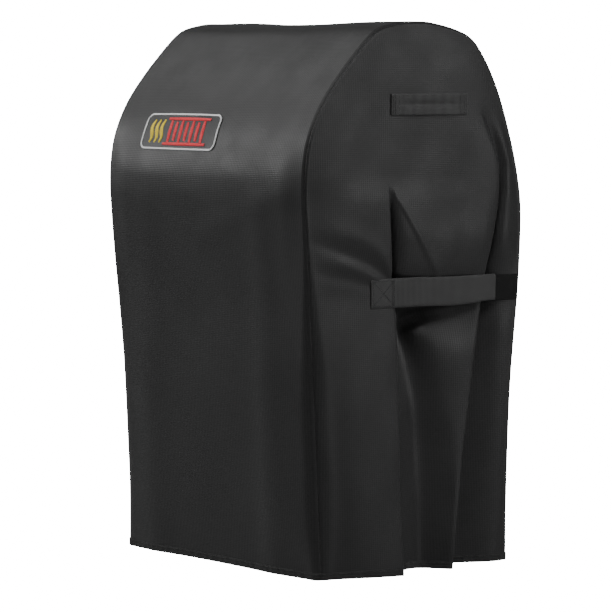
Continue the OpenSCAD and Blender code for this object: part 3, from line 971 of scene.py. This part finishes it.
def rounded_loop(w, h, r):
    points = []
    for cx, cy, a0 in ((w / 2 - r, h / 2 - r, 0), (-w / 2 + r, h / 2 - r, 90),
                       (-w / 2 + r, -h / 2 + r, 180), (w / 2 - r, -h / 2 + r, 270)):
        for a in np.linspace(a0, a0 + 90, 12):
            points.append((cx + r * math.cos(math.radians(a)), cy + r * math.sin(math.radians(a))))
    return closed(resample(np.array(points + points[:1]), LINE_STEP)[:-1])


def badge_ground():
    w, h, r = BADGE_W - 0.004, BADGE_H - 0.004, 0.0135
    uu, vv = np.meshgrid(np.linspace(-w / 2, w / 2, 84), np.linspace(-h / 2, h / 2, 30))
    over = np.maximum(np.abs(vv) - (h / 2 - r), 0)
    uu = uu / (w / 2) * (w / 2 - r + np.sqrt(np.clip(r * r - over**2, 0, None)))
    sheet = thick_sheet("badge_cloth", on_badge(uu, vv, BADGE_LIFT), flat_of(uu, vv), BADGE_T,
                        outward=True)
    on_cover(sheet, "cloth", "badge_ground")


def thread_bar(points, faces, flat, a, b):
    """One satin stitch from a to b, both (u, v) on the badge: a low arched strand. Its points
    are (u, v, height above the badge's cloth)."""
    rings, sides = 7, 6
    start = len(points)
    span = np.linalg.norm(b - a)
    direction = (b - a) / max(span, 1e-9)
    across = np.array([-direction[1], direction[0]])
    for r in range(rings):
        f = r / (rings - 1)
        arch = 4 * f * (1 - f)
        size = STRAND_RADIUS * (0.55 + 0.45 * min(1, arch * 2))
        for k in range(sides):
            angle = 2 * math.pi * k / sides
            c = a + (b - a) * f + across * (size * math.cos(angle))
            height = STRAND_LIFT * (0.25 + 0.75 * min(1, arch * 1.8))
            points.append((c[0], c[1], height + size * 0.8 * math.sin(angle)))
            flat.append((span * f, k / sides * STRAND_RADIUS, 0))
    bead_faces(faces, start, rings, sides)


def satin(name, node, slot, strips):
    """Embroidery: each strip is a path of (u, v), widths and a slant, with strands across it."""
    rng = np.random.default_rng(17)
    points, faces, flat = [], [], []
    for path, widths, slant in strips:
        p, along, t, s = walk(np.asarray(path, float), STRAND_PITCH, STRAND_REACH)
        w = np.interp(t / s[-1], np.linspace(0, 1, len(widths)), widths)
        for k in range(len(t)):
            jitter = rng.normal(0, STRAND_JITTER, 2)
            reach = (np.array([-along[k, 1], along[k, 0]]) + along[k] * slant) * w[k] / 2
            thread_bar(points, faces, flat, p[k] - reach + along[k] * jitter[0],
                       p[k] + reach + along[k] * jitter[1])
    points = np.array(points)
    vertices = on_badge(points[:, 0], points[:, 1], BADGE_LIFT + points[:, 2])
    on_cover(new_object(name, vertices, faces, flat), slot, node)


def badge_marks():
    """Border, a grate of bars and three heat waves."""
    loop = rounded_loop(BADGE_W - 0.003, BADGE_H - 0.003, 0.0145)
    satin("badge_edge", "badge_border", "white_thread", [(loop, [0.0042], 0.25)])
    bars = []
    for k in range(7):
        u = -0.036 + k * 0.0185
        tall = 0.046 if k % 2 == 0 else 0.040
        bars.append(([(u, -tall / 2), (u, tall / 2)], [0.0075, 0.0100, 0.0100, 0.0075], 0.2))
    for v in (-0.0265, 0.0265):
        bars.append(([(-0.050, v), (0.092, v)], [0.0055, 0.0065, 0.0065, 0.0055], 0.2))
    satin("badge_red_marks", "badge_grate", "red_thread", bars)
    curls = []
    f = np.linspace(0, 1, 24)
    for k in range(3):
        u = -0.097 + k * 0.0165 + 0.0036 * np.sin(2 * math.pi * f * 1.15)
        curls.append((np.stack([u, -0.024 + 0.048 * f], 1),
                      [0.0040, 0.0095, 0.0105, 0.0095, 0.0040], 0.2))
    satin("badge_yellow_marks", "badge_heat_waves", "yellow_thread", curls)


badge_ground()
badge_marks()

# ---- materials

CLOTH_TINT = (1.0, 1.0, 1.01)
WEAVE_PITCH, FINE_PITCH = 0.0052, 0.0013
NOISE_MIDDLE = (0.3, 0.7)
FLOOR_GLOW = 20.0


class Nodes:
    """Short ways to add and join shader nodes."""

    def __init__(self, name):
        self.material = bpy.data.materials.new(name)
        self.material.use_nodes = True
        self.tree = self.material.node_tree
        self.shader = self.tree.nodes["Principled BSDF"]

    def add(self, kind, **values):
        node = self.tree.nodes.new(kind)
        for key, value in values.items():
            setattr(node, key, value)
        return node

    def link(self, a, b):
        self.tree.links.new(a, b)

    def math(self, operation, *values):
        node = self.add("ShaderNodeMath", operation=operation)
        for socket, value in zip(node.inputs, values):
            if hasattr(value, "is_output"):
                self.link(value, socket)
            else:
                socket.default_value = value
        return node.outputs[0]

    def times_plus(self, a, b, c):
        return self.math("MULTIPLY_ADD", a, b, c)

    def flat(self):
        node = self.add("ShaderNodeAttribute", attribute_name="flat")
        split = self.add("ShaderNodeSeparateXYZ")
        self.link(node.outputs["Vector"], split.inputs[0])
        return node.outputs["Vector"], split.outputs[0], split.outputs[1]

    def noise(self, vector, scale, detail=2.0, rough=0.5):
        node = self.add("ShaderNodeTexNoise")
        self.link(vector, node.inputs["Vector"])
        node.inputs["Scale"].default_value = scale
        node.inputs["Detail"].default_value = detail
        node.inputs["Roughness"].default_value = rough
        return node.outputs[0]

    def place(self):
        return self.add("ShaderNodeTexCoord").outputs["Object"]

    def wave(self, value, pitch, phase=0.0):
        return self.math("SINE", self.times_plus(value, 2 * math.pi / pitch, phase))

    def ramp(self, value, stops):
        node = self.add("ShaderNodeValToRGB")
        self.link(value, node.inputs[0])
        for element, (position, colour) in zip(node.color_ramp.elements, stops):
            element.position = position
            element.color = (*colour, 1)
        return node.outputs[0]

    def span(self, value, a, b):
        """From a to b over the middle part of a noise."""
        node = self.add("ShaderNodeMapRange")
        self.link(value, node.inputs[0])
        for socket, number in zip(list(node.inputs)[1:5], (*NOISE_MIDDLE, a, b)):
            socket.default_value = number
        return node.outputs[0]

    def bump(self, height, distance, strength):
        node = self.add("ShaderNodeBump")
        node.inputs["Distance"].default_value = distance
        node.inputs["Strength"].default_value = strength
        self.link(height, node.inputs["Height"])
        return node.outputs[0]

    def finish(self, colour, roughness, normal, **sockets):
        self.link(colour, self.shader.inputs["Base Color"])
        self.link(roughness, self.shader.inputs["Roughness"])
        self.link(normal, self.shader.inputs["Normal"])
        for key, value in sockets.items():
            self.shader.inputs[key.replace("_", " ")].default_value = value
        return self.material


def grey(value, tint=(1.0, 1.0, 1.0)):
    return tuple(value * t for t in tint)


def cloth_material():
    """Dots of a coarse weave over a fine one, with slubs and broad, soft changes of tone."""
    n = Nodes("cloth")
    vector, u, v = n.flat()
    wide = n.math("MULTIPLY", u, 0.72)
    slanted = n.wave(n.math("ADD", wide, v), WEAVE_PITCH * math.sqrt(2))
    dots = n.math("MULTIPLY", slanted,
                  n.wave(n.math("SUBTRACT", wide, v), WEAVE_PITCH * math.sqrt(2)))
    fine = n.math("MULTIPLY", n.wave(u, FINE_PITCH), n.wave(v, FINE_PITCH))
    place = n.place()
    broad = n.noise(place, 5.0, 3.0, 0.55)
    slub = n.noise(vector, 160.0, 2.0, 0.6)
    tone = n.times_plus(dots, 0.22, 0.5)
    tone = n.times_plus(broad, 0.30, n.math("SUBTRACT", tone, 0.15))
    tone = n.times_plus(slub, 0.24, n.math("SUBTRACT", tone, 0.12))
    colour = n.ramp(tone, [(0.15, grey(0.010, CLOTH_TINT)), (0.85, grey(0.020, CLOTH_TINT))])
    rough = n.span(n.noise(place, 14.0, 3.0), 0.41, 0.50)
    height = n.times_plus(slub, 0.5, n.times_plus(fine, 0.12, dots))
    return n.finish(colour, rough, n.bump(height, 0.00012, 0.9), Specular_IOR_Level=0.25,
                    Sheen_Weight=0.067, Sheen_Roughness=0.45)


def tape_material():
    n = Nodes("binding_tape")
    vector, u, v = n.flat()
    ribs = n.math("MULTIPLY", n.wave(u, 0.0022), n.wave(v, 0.0016))
    fuzz = n.noise(vector, 420.0, 3.0, 0.7)
    patch = n.noise(n.place(), 40.0, 2.0)
    tone = n.times_plus(ribs, 0.16, n.times_plus(fuzz, 0.7, -0.1))
    tone = n.times_plus(patch, 0.35, n.math("ADD", tone, 0.05))
    colour = n.ramp(tone, [(0.2, grey(0.011)), (0.9, grey(0.031))])
    rough = n.span(fuzz, 0.66, 0.82)
    normal = n.bump(n.times_plus(fuzz, 1.2, ribs), 0.00025, 0.9)
    return n.finish(colour, rough, normal, Specular_IOR_Level=0.17, Sheen_Weight=0.08)


def web_material():
    n = Nodes("webbing")
    vector, u, v = n.flat()
    along = n.wave(u, WEB_PITCH, math.pi / 2)
    across = n.wave(v, 0.0021)
    fuzz = n.noise(vector, 520.0, 3.0, 0.7)
    patch = n.noise(n.place(), 30.0, 3.0)
    tone = n.times_plus(along, 0.34, n.times_plus(fuzz, 0.55, -0.04))
    tone = n.times_plus(patch, 0.3, n.times_plus(across, 0.06, tone))
    colour = n.ramp(tone, [(0.2, grey(0.025)), (0.85, grey(0.064))])
    rough = n.span(fuzz, 0.62, 0.8)
    height = n.times_plus(n.math("MULTIPLY", along, across), 0.8, fuzz)
    return n.finish(colour, rough, n.bump(height, 0.0002, 0.9), Specular_IOR_Level=0.2,
                    Sheen_Weight=0.11)


def hook_material():
    n = Nodes("hook_tape")
    vector, u, v = n.flat()
    hooks = n.math("MULTIPLY", n.wave(u, 0.0019), n.wave(v, 0.0015))
    fuzz = n.noise(vector, 300.0, 2.0)
    colour = n.ramp(n.times_plus(hooks, 0.3, fuzz), [(0.3, grey(0.003)), (0.9, grey(0.009))])
    rough = n.span(fuzz, 0.5, 0.66)
    return n.finish(colour, rough, n.bump(hooks, 0.0005, 0.9), Specular_IOR_Level=0.25)


def thread_material(name, dark, light, sheen=0.1):
    n = Nodes(name)
    _, u, v = n.flat()
    twist = n.wave(n.math("ADD", u, v), 0.0007)
    fuzz = n.noise(n.place(), 700.0, 2.0, 0.6)
    colour = n.ramp(n.times_plus(twist, 0.2, fuzz), [(0.25, dark), (0.8, light)])
    rough = n.span(fuzz, 0.42, 0.6)
    return n.finish(colour, rough, n.bump(twist, 0.0001, 0.7), Specular_IOR_Level=0.6,
                    Sheen_Weight=sheen)


def camera_sees(tree, output, plain_shader, shown_shader):
    """The camera's own rays meet the shown shader, all other rays the plain one."""
    mix = tree.nodes.new("ShaderNodeMixShader")
    path = tree.nodes.new("ShaderNodeLightPath")
    tree.links.new(path.outputs["Is Camera Ray"], mix.inputs[0])
    tree.links.new(plain_shader.outputs[0], mix.inputs[1])
    tree.links.new(shown_shader.outputs[0], mix.inputs[2])
    tree.links.new(mix.outputs[0], tree.nodes[output].inputs["Surface"])


def floor_material():
    """Pale and matt. To the camera it also glows, as a lit studio sweep does; the cover is lit by
    its matt part alone."""
    n = Nodes("floor")
    speck = n.noise(n.place(), 30.0, 2.0)
    colour = n.ramp(speck, [(0.3, grey(0.42)), (0.7, grey(0.46))])
    rough = n.span(speck, 0.7, 0.8)
    n.finish(colour, rough, n.bump(speck, 0.0001, 0.2), Specular_IOR_Level=0.1)
    glow = n.add("ShaderNodeEmission")
    glow.inputs["Strength"].default_value = FLOOR_GLOW
    both = n.add("ShaderNodeAddShader")
    n.link(n.shader.outputs[0], both.inputs[0])
    n.link(glow.outputs[0], both.inputs[1])
    camera_sees(n.tree, "Material Output", n.shader, both)
    return n.material


MATERIALS = {
    "cloth": cloth_material(),
    "binding_tape": tape_material(),
    "webbing": web_material(),
    "hook_tape": hook_material(),
    "dark_thread": thread_material("dark_thread", grey(0.007), grey(0.019)),
    "white_thread": thread_material("white_thread", grey(0.8), grey(1.0), 0.3),
    "red_thread": thread_material("red_thread", (0.85, 0.008, 0.02), (1.0, 0.03, 0.05)),
    "yellow_thread": thread_material("yellow_thread", (0.95, 0.66, 0.004), (1.0, 0.85, 0.02)),
}
for obj, slot in FINISHES:
    obj.data.materials.clear()
    obj.data.materials.append(MATERIALS[slot])

# ---- studio

FLOOR_HALF, FLOOR_DROP = 14.0, 0.0005
WORLD_LIGHT = 0.03
BACKDROP_GLOW = 20.0
# Name, place, aim, size and power.
LIGHTS = [
    ("key", (-2.43, -2.69, 3.38), (0, 0, 0.6), (2.2, 2.2), 43),
    ("strip_left", (-3.77, -2.35, 1.94), (0, 0, 0.75), (2.4, 0.7), 61),
    ("front_high", (-0.36, -2.07, 4.19), (0, 0, 0.7), (2.6, 1.6), 36),
    ("right_rear", (3.18, 2.23, 2.62), (0.2, 0, 0.6), (1.6, 1.8), 16),
    ("strip_right", (3.85, 2.41, 1.42), (0.2, 0, 0.7), (1.8, 0.7), 50),
    ("right_high", (2.82, -0.25, 3.92), (0.2, 0, 0.7), (2.0, 1.8), 76),
    ("left_high", (-3.04, -0.65, 3.66), (0, 0, 0.7), (2.0, 1.8), 22),
    ("corner_high", (2.43, -2.19, 3.49), (0.1, -0.1, 0.8), (1.4, 1.2), 49),
]


def area_light(name, place, aim, size, power):
    data = bpy.data.lights.new(name, "AREA")
    data.shape = "RECTANGLE"
    data.size, data.size_y = size
    data.energy = power
    add_aimed(data, place, Vector(place) - Vector(aim))


def studio():
    corners = [(x * FLOOR_HALF, y * FLOOR_HALF, 0) for x, y in ((-1, -1), (1, -1), (1, 1), (-1, 1))]
    floor = new_object("floor", corners, [(0, 1, 2, 3)], smooth_faces=False)
    floor.location.z = -FLOOR_DROP
    floor.data.materials.append(floor_material())
    floor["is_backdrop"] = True
    world = bpy.data.worlds.new("studio")
    bpy.context.scene.world = world
    world.use_nodes = True
    shaders = [world.node_tree.nodes["Background"],
               world.node_tree.nodes.new("ShaderNodeBackground")]
    for shader, strength in zip(shaders, (WORLD_LIGHT, BACKDROP_GLOW)):
        shader.inputs["Color"].default_value = (1, 1, 1, 1)
        shader.inputs["Strength"].default_value = strength
    camera_sees(world.node_tree, "World Output", *shaders)
    for light in LIGHTS:
        area_light(*light)


studio()

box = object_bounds()


def plain(value):
    return [plain(v) for v in value] if hasattr(value, "__len__") else float(value)


{"cad": plain(cad_box), "visual": plain(box)}
